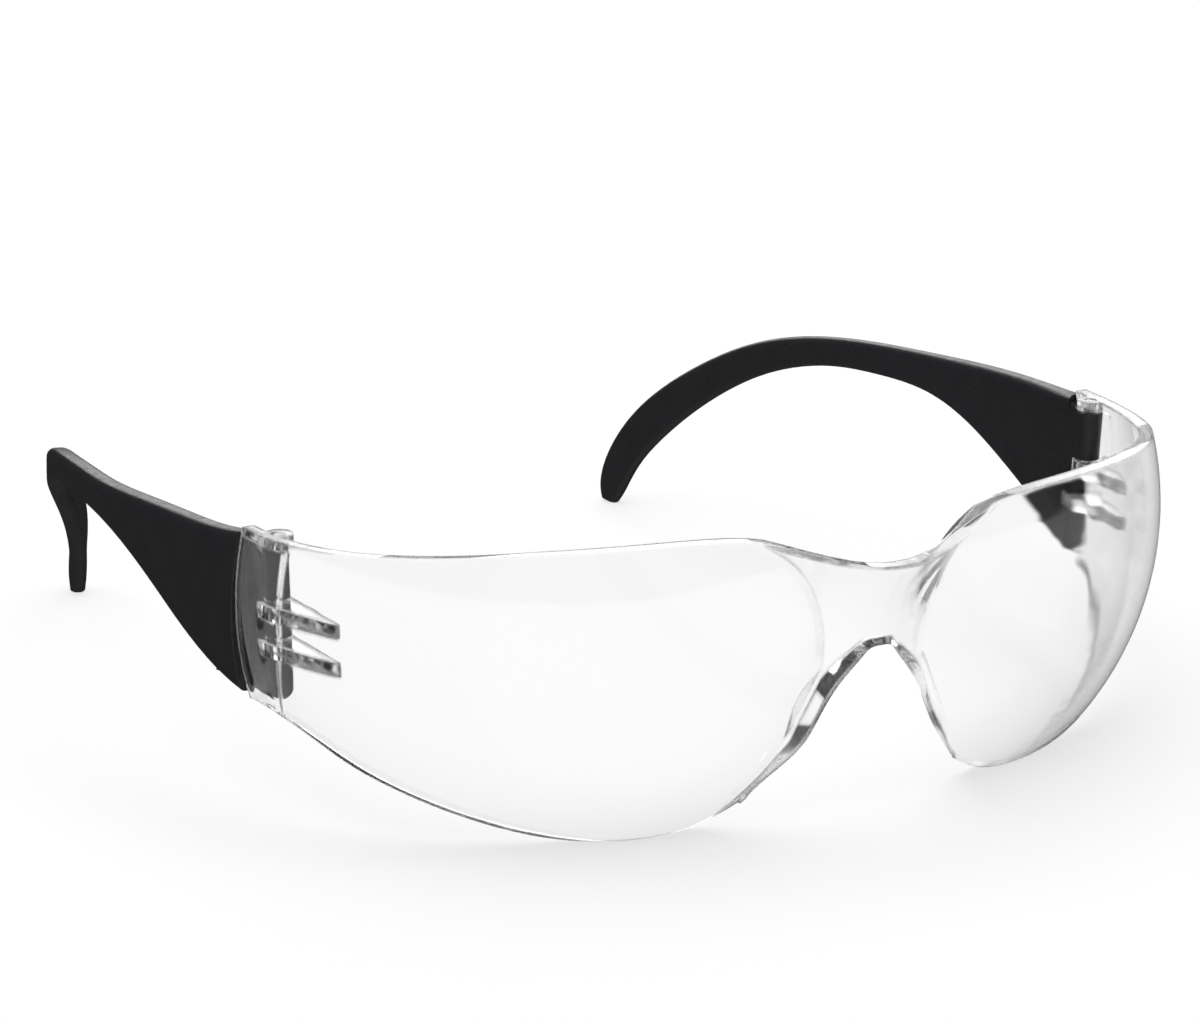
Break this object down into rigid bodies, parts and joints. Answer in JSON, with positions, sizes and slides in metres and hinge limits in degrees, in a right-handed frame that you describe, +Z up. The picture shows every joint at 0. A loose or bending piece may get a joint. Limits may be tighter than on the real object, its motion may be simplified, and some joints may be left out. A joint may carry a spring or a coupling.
{
  "type": "safety glasses",
  "caption": "Rimless wrap-around safety glasses: a clear one-piece shield with a moulded nose bridge and folding black temples that hook over the ears.",
  "frame": {"origin": "on the table, under the middle of the glasses with the temples open", "axes": "+Z up, -Y the way the wearer looks, +X towards the wearer's left temple"},
  "size_m": [0.1536, 0.157, 0.0455],
  "materials": {
    "clear_polycarbonate": "clear, polished",
    "black_temple": "satin",
    "pin_steel": "drawn wire"
  },
  "bodies": {
    "shield": {"lens_shield": "clear_polycarbonate", "hinge_pin_right": "pin_steel", "hinge_pin_left": "pin_steel"},
    "left_arm": {"temple_left": "black_temple"},
    "right_arm": {"temple_right": "black_temple"}
  },
  "joints": [
    {"name": "left_hinge", "type": "hinge", "parent": "shield", "child": "left_arm", "pos_m": [0.0707, -0.0271, 0.0307], "axis": [0.0454, 0, 0.999], "range_deg": [0, 90]},
    {"name": "right_hinge", "type": "hinge", "parent": "shield", "child": "right_arm", "pos_m": [-0.0707, -0.0271, 0.0307], "axis": [0.0454, 0, -0.999], "range_deg": [0, 80]}
  ]
}
